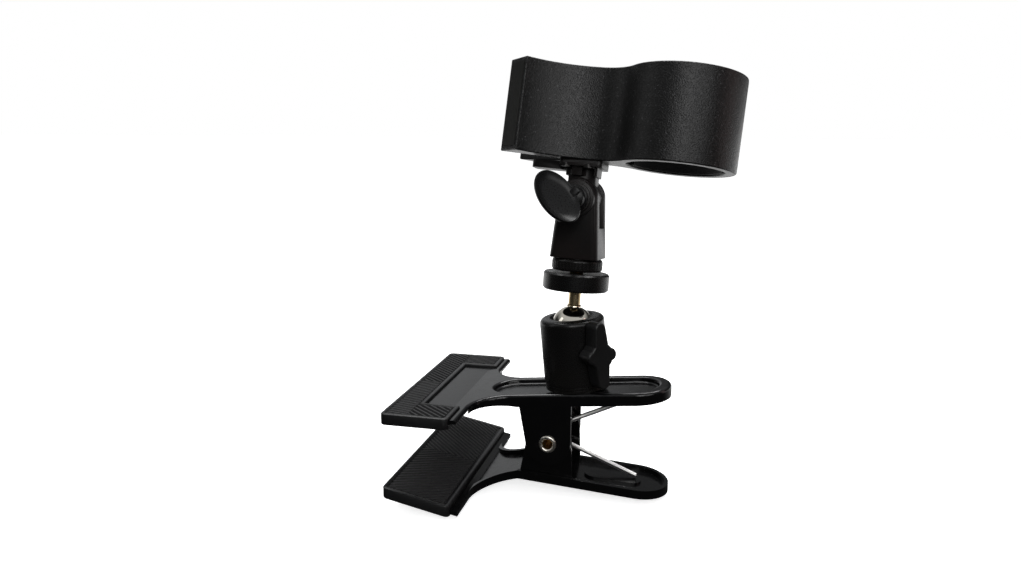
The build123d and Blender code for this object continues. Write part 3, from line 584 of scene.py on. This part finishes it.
@dataclass
class RibbedPad:
    """A moulded rubber pad: a lip round each outer face and slanted ribs inside it."""

    node: str
    body: str
    length: float = 88 * MM
    width: float = 27 * MM
    band: float = 12.5 * MM
    side: float = 16 * MM
    round: float = 0.42 * MM
    lip: float = 1.1 * MM
    wall: float = 0.25 * MM
    depth: float = 0.8 * MM
    pitch: float = 2.6 * MM
    rib: float = 1.5 * MM
    crown: float = 0.38
    slant: float = 40.0
    corner: float = 0.3
    edge_gap: float = 0.25 * MM
    area_gap: float = 0.3 * MM
    sink: float = 0.02 * MM

    def build(self) -> bpy.types.Object:
        """Round the pad's edges, sink its outer faces inside their lips and set the ribs in them.

        Returns:
            The pad.
        """
        bm = merged_copy(self.node)
        ribs = []
        for face in self._outer_faces(bm):
            ribs.append(self._face_frame(face))
            bmesh.ops.translate(bm, vec=(0, 0, -self.round / face.normal.z), verts=face.verts)
            low, high = self.round * self.corner, self.round * (1 - self.corner)
            for inward, rise in ((low, high), (high, low), (self.lip, 0.0), (self.wall, -self.depth)):
                bmesh.ops.inset_region(
                    bm, faces=[face], thickness=inward, depth=rise, use_boundary=True, use_even_offset=True
                )
        for place, full in ribs:
            for area in self._areas(full):
                add_to(bm, self._ribs(*area), place)
        return hand_over(bm, self.node + "_ribbed", self.body, PAD_RUBBER, self.node)

    def _outer_faces(self, bm: bmesh.types.BMesh) -> list[bmesh.types.BMFace]:
        """Find the pad's two large outer faces.

        Args:
            bm: The pad.

        Returns:
            The faces.
        """
        large = 0.3 * self.length * self.width
        faces = []
        for face in bm.faces:
            middle = face.calc_center_median()
            ahead = max((v.co - middle).dot(face.normal) for v in bm.verts)
            if face.calc_area() > large and ahead < self.sink:
                faces.append(face)
        return faces

    def _face_frame(self, face: bmesh.types.BMFace) -> tuple[Matrix, bool]:
        """Find where an outer face lies.

        Args:
            face: The face.

        Returns:
            The frame with X across the pad from its front edge and Z out of the face, and whether
            the face is whole, without the steel's window.
        """
        across = Vector((0, 1, 0)).cross(face.normal)
        if across.x < 0:
            across.negate()
        start = min(v.co.dot(across) for v in face.verts)
        origin = across * start + face.normal * face.calc_center_median().dot(face.normal)
        matrix = Matrix((across, Vector((0, 1, 0)), face.normal)).transposed().to_4x4()
        whole = face.calc_area() > 0.8 * self.length * self.width
        return Matrix.Translation(origin) @ matrix, whole

    def _areas(self, whole: bool) -> list[tuple[float, float, float, float, float]]:
        """List the areas that the ribs fill.

        Args:
            whole: Whether the face has no window.

        Returns:
            Each area's start and end across the pad, start and end along it, and its ribs' slant.
        """
        edge = self.round + self.lip + self.wall + self.edge_gap
        end = self.length / 2 - edge
        front, rear = edge, self.width - edge
        if whole:
            return [(front, rear, -end, 0, self.slant), (front, rear, 0, end, -self.slant)]
        front_end = self.band - edge
        inner = self.length / 2 - self.side + edge
        areas = [(front, front_end, -end, 0, self.slant), (front, front_end, 0, end, -self.slant)]
        side_front = front_end + self.area_gap
        areas.append((side_front, rear, -end, -inner, -self.slant))
        areas.append((side_front, rear, inner, end, self.slant))
        return areas

    def _ribs(self, x0: float, x1: float, y0: float, y1: float, slant: float) -> bmesh.types.BMesh:
        """Make the ribs of one area.

        Args:
            x0: Its start across the pad.
            x1: Its end across the pad.
            y0: Its start along the pad.
            y1: Its end along the pad.
            slant: Degrees that the ribs lean from square across.

        Returns:
            The ribs, cut to the area.
        """
        bm = bmesh.new()
        reach = (x1 - x0) / cos(radians(slant)) + 2 * self.rib
        over = (x1 - x0) * abs(sin(radians(slant)))
        count = int((y1 - y0 + 2 * over) / self.pitch)
        for i in range(count):
            bar = bmesh.ops.create_cube(bm, size=1.0)["verts"]
            bmesh.ops.scale(bm, vec=(reach, self.rib, self.depth), verts=bar)
            crest = [v for v in bar if v.co.z > 0]
            bmesh.ops.scale(bm, vec=(1.0, self.crown, 1.0), verts=crest)
            along = y0 - over + (i + 0.5) * self.pitch
            turn = Matrix.Rotation(radians(slant), 4, "Z")
            shift = Matrix.Translation(((x0 + x1) / 2, along, -self.depth / 2 - self.sink))
            bmesh.ops.transform(bm, matrix=shift @ turn, verts=bar)
        ends = [((x0, 0, 0), (-1, 0, 0)), ((x1, 0, 0), (1, 0, 0))]
        ends += [((0, y0, 0), (0, -1, 0)), ((0, y1, 0), (0, 1, 0))]
        for spot, out in ends:
            geom = bm.verts[:] + bm.edges[:] + bm.faces[:]
            cut = bmesh.ops.bisect_plane(bm, geom=geom, plane_co=spot, plane_no=out, clear_outer=True)
            open_edges = [e for e in cut["geom_cut"] if isinstance(e, bmesh.types.BMEdge)]
            bmesh.ops.holes_fill(bm, edges=open_edges, sides=0)
        return bm


@dataclass
class TorsionSpring:
    """A coil of wire in two pieces, so that each leg follows its own lever.

    Lengths along the axis are from the place's origin. Angles are about the axis, from +X. The
    legs leave the coil along its side, or straight out from it if they are radial.
    """

    place: Matrix
    wire: float
    mean: float
    first: float
    last: float
    arm: float
    steps: int = 22
    radial: bool = False

    def coil_and_leg(self, tip: tuple[float, float, float]) -> bmesh.types.BMesh:
        """Make the coil with its first leg.

        Args:
            tip: The leg's end, with the axis as its third number.

        Returns:
            The wire.
        """
        root = self._root(tip, 1)
        count = int(abs(self.last - self.first) / self.wire * self.steps)
        path = self._leg(tip, root, self.first)
        for i in range(1, count + 1):
            along = self.first + (self.last - self.first) * i / count
            path.append(self._spot(root + 2 * pi * i / self.steps, along))
        return self._wire(path)

    def arm_and_leg(self, tip: tuple[float, float, float]) -> bmesh.types.BMesh:
        """Make the last turn with the other leg.

        Args:
            tip: The leg's end, with the axis as its third number.

        Returns:
            The wire.
        """
        root = self._root(tip, -1)
        path = self._leg(tip, root, self.arm)
        for i in range(1, self.steps):
            path.append(self._spot(root - 2 * pi * i / self.steps, self.arm))
        return self._wire(path)

    def _root(self, tip: tuple[float, float, float], side: int) -> float:
        """Work out the angle at which a straight leg leaves the coil.

        Args:
            tip: The leg's end.
            side: Which of the coil's sides it leaves from, 1 or -1.

        Returns:
            The angle.
        """
        lead = 0.0 if self.radial else acos(self.mean / hypot(tip[0], tip[1]))
        return atan2(tip[1], tip[0]) + side * lead

    def _spot(self, angle: float, along: float) -> Vector:
        """Place a point of the coil's centre line.

        Args:
            angle: Its angle about the axis.
            along: Its place along the axis.

        Returns:
            The point.
        """
        return Vector((self.mean * cos(angle), self.mean * sin(angle), along))

    def _leg(self, tip: tuple[float, float, float], root: float, along: float) -> list[Vector]:
        """List a leg's points.

        Args:
            tip: Its end.
            root: Angle at which it meets the coil.
            along: Where on the axis it meets the coil.

        Returns:
            The points, from the tip to the coil.
        """
        start, end = Vector(tip), self._spot(root, along)
        return [start.lerp(end, share) for share in (0, 0.02, 0.5, 0.97, 1)]

    def _wire(self, path: list[Vector]) -> bmesh.types.BMesh:
        """Draw the wire and put it in its place.

        Args:
            path: Points of its centre line.

        Returns:
            The wire.
        """
        bm = drawn(path, self.wire / 2)
        bmesh.ops.transform(bm, matrix=self.place, verts=bm.verts)
        return bm


@dataclass
class Clamp:
    """The spring clamp: two pressed jaws, their pads, the rivet and the spring."""

    wire: float = 1.9 * MM
    mean: float = 4.6 * MM
    half: float = 8.55 * MM
    gap: float = 1.2 * MM
    tip_side: float = 1.5 * MM
    tip_back: float = 0.5 * MM
    bore: float = 1.94 * MM

    def build(self) -> None:
        """Build and dress the clamp."""
        dress(ENAMEL, "upper_jaw_plate", "lower_jaw_plate")
        RibbedPad("upper_jaw_pad", "upper_jaw").build()
        RibbedPad("lower_jaw_pad", "lower_jaw").build()
        pivot = joint_line("jaw_hinge")[0]
        place = placing(pivot, Vector((1, 0, 0)), Vector((0, -1, 0)))
        eyelet = turned(self._eyelet(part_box("pivot_rivet")[1].y))
        bmesh.ops.transform(eyelet, matrix=place, verts=eyelet.verts)
        rivet = hand_over(eyelet, "rolled_eyelet", "upper_jaw", NICKEL, "pivot_rivet", sharp=50.0)
        paint(rivet, BRASS, lambda spot: hypot(spot.x - pivot.x, spot.z - pivot.z) < self.bore)
        end = self.half - self.wire / 2
        spring = TorsionSpring(place, self.wire, self.mean, end, -end + self.wire + self.gap, -end)
        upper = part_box("clamp_spring")[1]
        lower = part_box("clamp_spring_arm")
        reach = pivot.x + self.tip_back
        upper_tip = (upper.x - reach, upper.z - pivot.z - self.wire / 2, self.tip_side)
        lower_tip = (lower[1].x - reach, lower[0].z - pivot.z + self.wire / 2, -self.tip_side)
        hand_over(spring.coil_and_leg(upper_tip), "clamp_coil", "upper_jaw", SPRING_WIRE, "clamp_spring")
        hand_over(spring.arm_and_leg(lower_tip), "clamp_arm", "lower_jaw", SPRING_WIRE, "clamp_spring_arm")

    def _eyelet(self, end: float) -> list[tuple[float, float]]:
        """The closed profile of the hollow rivet, with a rolled rim at each end.

        Args:
            end: Half its length.

        Returns:
            Its profile.
        """
        rolled = [(3.0, 1.0), (3.6, 1.0), (3.6, 0.62), (3.44, 0.25), (3.1, 0.04), (2.75, 0.0)]
        rolled += [(2.4, 0.12), (2.14, 0.42), (1.98, 0.9), (1.86, 1.8), (1.7, 3.0)]
        near = [(radius * MM, end - back * MM) for radius, back in rolled]
        far = [(radius, -height) for radius, height in reversed(near)]
        return [*near, *far, near[0]]


# ---------------------------------------------------------------- ball head


@dataclass
class BallHead:
    """The ball head: housing, lock knob, ball with its stud and the platform."""

    ball: float = 8.5 * MM
    neck: float = 2.4 * MM
    collar: float = 2.9 * MM
    platform: float = 15.1 * MM
    stud: float = 3.1 * MM
    end: float = 31.5 * MM
    pitch: float = 1.27 * MM
    thread: float = 0.55 * MM
    thread_start: float = 6.5 * MM
    steps: int = 30

    def build(self) -> None:
        """Build and dress the ball head."""
        dress(ANODISED, "housing_base", "ball_housing", "platform_disc", "thread_adapter")
        dress(ZINC, "housing_screw", "housing_washer", "lock_screw")
        dress(BRASS, "clutch_plug")
        dress(NYLON, "ball_seat")
        dress(KNOB_PLASTIC, "lock_knob")
        centre = joint_line("ball_tilt")[0]
        axis = joint_line("adapter_turn")[1]
        bm = self._stem()
        bmesh.ops.transform(bm, matrix=placing(centre, Vector((1, 0, 0)), axis), verts=bm.verts)
        stem = hand_over(bm, "ball_and_stud", "ball_stem", CHROME, "ball_stud")
        paint(stem, PLATED_NECK, lambda spot: (spot - centre).dot(axis) > self.ball)

    def _stem(self) -> bmesh.types.BMesh:
        """Turn the ball, its waisted neck, the bright collar and the threaded stud."""
        top = acos(self.collar / self.ball)
        profile = [(0.0, -self.ball)]
        for i in range(1, self.steps + 1):
            angle = -pi / 2 + (pi / 2 + top) * i / self.steps
            profile.append((self.ball * cos(angle), self.ball * sin(angle)))
        rise = profile[-1][1]
        profile += [(self.collar, rise + 0.5 * MM), (self.collar - 0.2 * MM, rise + 0.9 * MM)]
        profile += [(self.neck, rise + 1.1 * MM), (self.neck, self.platform - 0.3 * MM)]
        profile += [(self.stud, self.platform + 0.1 * MM)]
        height = self.platform + self.thread_start
        while height < self.end - self.pitch:
            profile += [(self.stud, height), (self.stud - self.thread, height + self.pitch / 2)]
            height += self.pitch
        profile += [(self.stud, height), (self.stud - 0.6 * MM, self.end), (0.0, self.end)]
        return turned(profile)


# ---------------------------------------------------------------- swivel


@dataclass
class Swivel:
    """The yoke, the clip's neck and the paddle that locks them.

    The web joins the paddle's oval to its hub, and is narrower and taller towards the oval.
    """

    long: float = 23.0 * MM
    short: float = 15.0 * MM
    half_thick: float = 1.3 * MM
    rim: float = 0.7 * MM
    dish: float = 1.5 * MM
    out: float = 21.6 * MM
    shift: float = -4.4 * MM
    slant: float = -40.0
    cant: float = 44.0
    hub: float = 5.2 * MM
    hub_start: float = 11.5 * MM
    hub_length: float = 5.6 * MM
    web: tuple[float, float, float] = (5.2 * MM, 5.6 * MM, 8.0 * MM)
    web_taper: tuple[float, float, float] = (0.62, 1.0, 1.25)
    web_round: float = 0.5 * MM
    web_back: float = 6.6 * MM
    web_share: float = 0.2
    yoke_round: float = 0.3 * MM
    neck_round: float = 0.35 * MM

    def build(self) -> None:
        """Build and dress the swivel."""
        softened("swivel_yoke", "yoke", YOKE_PLASTIC, self.yoke_round)
        softened("clip_neck", "clip", YOKE_PLASTIC, self.neck_round)
        dress(ZINC, "tilt_nut", "tilt_bolt")
        dress(BLACKED, "neck_screws")
        dress(FIBRE, "friction_washer_front", "friction_washer_rear")
        centre, along = joint_line("clip_tilt")
        axis = joint_line("yoke_swivel")[1]
        tilt = placing(centre, along.cross(axis), axis)
        bm = self._paddle()
        bmesh.ops.transform(bm, matrix=tilt, verts=bm.verts)
        hand_over(bm, "dished_paddle", "tilt_knob", PADDLE_PLASTIC, "tilt_paddle", sharp=40.0)

    def _paddle(self) -> bmesh.types.BMesh:
        """Shape the paddle: a dished oval on a stepped hub, joined by a tapered web."""
        bm = bmesh.new()
        add_to(bm, self._oval(), self._seat())
        add_to(bm, self._hub(), Matrix.Rotation(pi / 2, 4, "X"))
        middle = Matrix.Translation((self.shift * self.web_share, self.web_back - self.out, 0))
        add_to(bm, self._web(), middle @ Matrix.Rotation(radians(-self.slant), 4, "Y"))
        return bm

    def _web(self) -> bmesh.types.BMesh:
        """Shape the web between the oval and the hub."""
        bm = bmesh.new()
        block = bmesh.ops.create_cube(bm, size=1.0)["verts"]
        bmesh.ops.scale(bm, vec=self.web, verts=block)
        near = [v for v in block if v.co.y < 0]
        bmesh.ops.scale(bm, vec=self.web_taper, verts=near)
        bmesh.ops.bevel(
            bm, geom=bm.edges[:], offset=self.web_round, offset_type="OFFSET", segments=2, profile=0.5,
            affect="EDGES", material=-1,
        )
        return bm

    def _seat(self) -> Matrix:
        """Where the oval stands, in the tilt axis's frame."""
        spot = Matrix.Translation((self.shift, -self.out, 0))
        lean = Matrix.Rotation(radians(self.slant), 4, "Y") @ Matrix.Rotation(pi / 2, 4, "X")
        return spot @ lean @ Matrix.Rotation(radians(self.cant), 4, "Y")

    def _oval(self) -> bmesh.types.BMesh:
        """Turn a round dish with a thin rim and draw it out into an oval."""
        r = self.long / 2
        t = self.half_thick
        back = [(0.0, -t), (r * 0.80, -t), (r * 0.93, -t * 0.72), (r * 0.985, -t * 0.2), (r, t * 0.35)]
        rim = [(r - 0.12 * MM, t * 0.8), (r - 0.4 * MM, t), (r - self.rim, t * 0.92)]
        dish = [(r * 0.84, t * 0.25), (r * 0.62, t - self.dish * 0.85)]
        dish += [(r * 0.35, t - self.dish), (0.0, t - self.dish * 1.02)]
        bm = turned(back + rim + dish, 72)
        bmesh.ops.scale(bm, vec=(self.short / self.long, 1.0, 1.0), verts=bm.verts)
        return bm

    def _hub(self) -> bmesh.types.BMesh:
        """Turn the hub round the bolt, in steps."""
        start, end = self.hub_start, self.hub_start + self.hub_length
        r = self.hub
        near = [(0.0, start), (r - 0.4 * MM, start), (r, start + 0.4 * MM), (r, start + 2.2 * MM)]
        far = [(r - 0.5 * MM, start + 2.5 * MM), (r - 0.7 * MM, end - 0.5 * MM)]
        far += [(r - 1.3 * MM, end), (0.0, end)]
        return turned(near + far, 48)


# ---------------------------------------------------------------- clip


@dataclass
class Clip:
    """The sprung clip: two jaws with end caps and liners, the pin and its spring."""

    wire: float = 1.15 * MM
    mean: float = 3.6 * MM
    leg: float = 14.0 * MM
    lean: float = 12.0
    low: float = 10.0 * MM
    high: float = 15.35 * MM
    arm: float = 17.0 * MM

    def build(self) -> None:
        """Build and dress the clip."""
        dress(CLIP_PLASTIC, "front_jaw", "rear_jaw")
        dress(CAP_PLASTIC, "front_grip_cap", "rear_grip_cap")
        dress(LINER, "front_liner", "rear_liner")
        dress(ZINC, "jaw_pin")
        pin, axis = joint_line("rear_jaw_open")
        ring = Vector(next(m for m in frame["record"]["mounts"] if m["name"] == "ring")["pos_m"])
        place = placing(pin, ring - pin, -axis)
        low, high, arm = -self.low, -self.high, -self.arm
        spring = TorsionSpring(place, self.wire, self.mean, low, high, arm, radial=True)
        lean = radians(self.lean)
        front_tip = (-self.leg * cos(lean), self.leg * sin(lean), low)
        rear_tip = (front_tip[0], -front_tip[1], arm)
        hand_over(spring.coil_and_leg(front_tip), "clip_coil", "clip", SPRING_WIRE, "jaw_spring")
        hand_over(spring.arm_and_leg(rear_tip), "clip_arm", "rear_jaw", SPRING_WIRE, "jaw_spring_arm")


# ---------------------------------------------------------------- studio


@dataclass(frozen=True)
class Lamp:
    """A soft box that faces the object, with its place, its size and its power in watts."""

    name: str
    spot: tuple[float, float, float]
    width: float
    height: float
    watts: float
    colour: Colour = WHITE

    def hang(self) -> None:
        """Hang the lamp and turn it to the object."""
        lamp = bpy.data.lights.new(self.name, "AREA")
        lamp.shape = "RECTANGLE"
        lamp.size = self.width
        lamp.size_y = self.height
        lamp.energy = self.watts
        lamp.color = self.colour
        holder = bpy.data.objects.new(self.name, lamp)
        bpy.context.scene.collection.objects.link(holder)
        spot = Vector(self.spot)
        holder.location = spot
        holder.rotation_euler = (AIM - spot).to_track_quat("-Z", "Y").to_euler()


AIM = Vector((0.05, 0, 0.05))
LAMPS = (
    Lamp("key", (0.22, -0.95, 0.50), 0.45, 0.5, 2.8),
    Lamp("beside", (0.68, -0.74, 0.46), 0.5, 0.5, 1.7),
    Lamp("left", (-0.80, -0.25, 0.45), 0.3, 0.6, 0.5),
    Lamp("right", (0.90, 0.12, 0.30), 0.25, 0.6, 0.4, (1.0, 0.72, 0.70)),
    Lamp("top", (0.05, 0.25, 0.95), 1.0, 0.5, 12.0),
)


@dataclass
class Studio:
    """The pale floor, the soft lights and the camera.

    The floor and the room show white, but throw a light of their own on the object. Felt is the
    floor's light near the object and far behind it, and felt_span where it goes from one to the
    other. The room goes from dim to the ceiling's light over ceiling_span of height, and the
    wall's light is added behind, over wall_span, most of it to one side, over side_span.
    """

    drop: float = 1.5 * MM
    spread: float = 6.0
    glow: float = 0.78
    felt: Span = (0.03, 1.5)
    felt_span: Span = (0.03, 0.40)
    eye: tuple[float, float, float] = (0.109, -0.3295, 0.1145)
    pitch: float = 78.7
    heading: float = 13.9
    lens: float = 29.97
    sensor: float = 36.0
    room: float = 0.02
    ceiling: float = 0.45
    wall: float = 0.55
    ceiling_span: Span = (0.34, 0.70)
    wall_span: Span = (0.4, 0.95)
    side_span: Span = (-0.08, -0.30)
    side_least: float = 0.03

    def build(self) -> None:
        """Set up the floor, the lights and the camera."""
        self._floor()
        self._sky()
        for lamp in LAMPS:
            lamp.hang()
        self._camera()

    def _floor(self) -> None:
        """Lay a pale floor just under the object."""
        bm = bmesh.new()
        bmesh.ops.create_grid(bm, x_segments=1, y_segments=1, size=self.spread)
        bmesh.ops.translate(bm, vec=(0, 0, cad_box[0][2] - self.drop), verts=bm.verts)
        mesh = bpy.data.meshes.new("floor")
        bm.to_mesh(mesh)
        bm.free()
        mesh.materials.append(self._floor_material())
        floor = bpy.data.objects.new("floor", mesh)
        bpy.context.scene.collection.objects.link(floor)

    def _floor_material(self) -> bpy.types.Material:
        """Make the floor's finish, which looks white but throws little light up at the object."""
        material = bpy.data.materials.new("pale_floor")
        material.use_nodes = True
        wiring = Wiring(material.node_tree)
        wiring.tree.nodes.clear()
        where = wiring.add("ShaderNodeTexCoord").outputs["Object"]
        cloud = wiring.noise(where, 4.0, 2.0)
        pale = wiring.add("ShaderNodeBsdfPrincipled")
        shade = wiring.blend(cloud, (0.84, 0.84, 0.84), (0.80, 0.80, 0.80))
        wiring.tree.links.new(shade, pale.inputs["Base Color"])
        pale.inputs["Roughness"].default_value = 0.8
        pale.inputs["Emission Color"].default_value = (*WHITE, 1.0)
        pale.inputs["Emission Strength"].default_value = self.glow
        back = wiring.add("ShaderNodeSeparateXYZ", Vector=where).outputs["Y"]
        dim = wiring.add("ShaderNodeEmission", Strength=wiring.spread(back, *self.felt_span, *self.felt))
        wiring.add("ShaderNodeOutputMaterial", Surface=self._seen_or_not(wiring, dim, pale))
        return material

    def _seen_or_not(
        self, wiring: Wiring, felt: bpy.types.Node, seen: bpy.types.Node
    ) -> bpy.types.NodeSocket:
        """Mix two shaders.

        Args:
            wiring: The nodes.
            felt: What lights the object.
            seen: What shows behind it.

        Returns:
            The mixed shader.
        """
        direct = wiring.add("ShaderNodeLightPath").outputs["Is Camera Ray"]
        mix = wiring.add("ShaderNodeMixShader", Fac=direct)
        wiring.tree.links.new(felt.outputs[0], mix.inputs[1])
        wiring.tree.links.new(seen.outputs[0], mix.inputs[2])
        return mix.outputs[0]

    def _sky(self) -> None:
        """Surround the object with a dim room, its ceiling paler and palest behind to the left."""
        world = bpy.data.worlds.new("studio")
        world.use_nodes = True
        wiring = Wiring(world.node_tree)
        wiring.tree.nodes.clear()
        way = wiring.add("ShaderNodeTexCoord").outputs["Generated"]
        part = wiring.add("ShaderNodeSeparateXYZ", Vector=way).outputs
        wall = wiring.spread(part["Y"], *self.wall_span, 0.0, self.wall)
        aside = wiring.spread(part["X"], *self.side_span, self.side_least, 1.0)
        above = wiring.spread(part["Z"], *self.ceiling_span, self.room, self.ceiling)
        light = wiring.maths("ADD", above, wiring.maths("MULTIPLY", wall, aside))
        soft = wiring.add("ShaderNodeBackground", Strength=light)
        soft.inputs["Color"].default_value = (0.97, 0.985, 1.0, 1.0)
        plain = wiring.add("ShaderNodeBackground")
        plain.inputs["Color"].default_value = (*WHITE, 1.0)
        wiring.add("ShaderNodeOutputWorld", Surface=self._seen_or_not(wiring, soft, plain))
        bpy.context.scene.world = world

    def _camera(self) -> None:
        """Stand the camera in front of the clamp."""
        camera = bpy.data.cameras.new("camera")
        camera.lens = self.lens
        camera.sensor_width = self.sensor
        camera.clip_start = 0.01
        holder = bpy.data.objects.new("camera", camera)
        bpy.context.scene.collection.objects.link(holder)
        holder.location = self.eye
        holder.rotation_euler = (radians(self.pitch), 0, radians(self.heading))
        bpy.context.scene.camera = holder
        bpy.context.scene.view_settings.view_transform = "Standard"


def main() -> None:
    """Build the studio and each sub-assembly."""
    logging.basicConfig(level=logging.INFO, format="%(message)s")
    for part in (Studio(), Clamp(), BallHead(), Swivel(), Clip()):
        log.info("building %s", type(part).__name__)
        part.build()


if __name__ == "__main__":
    main()
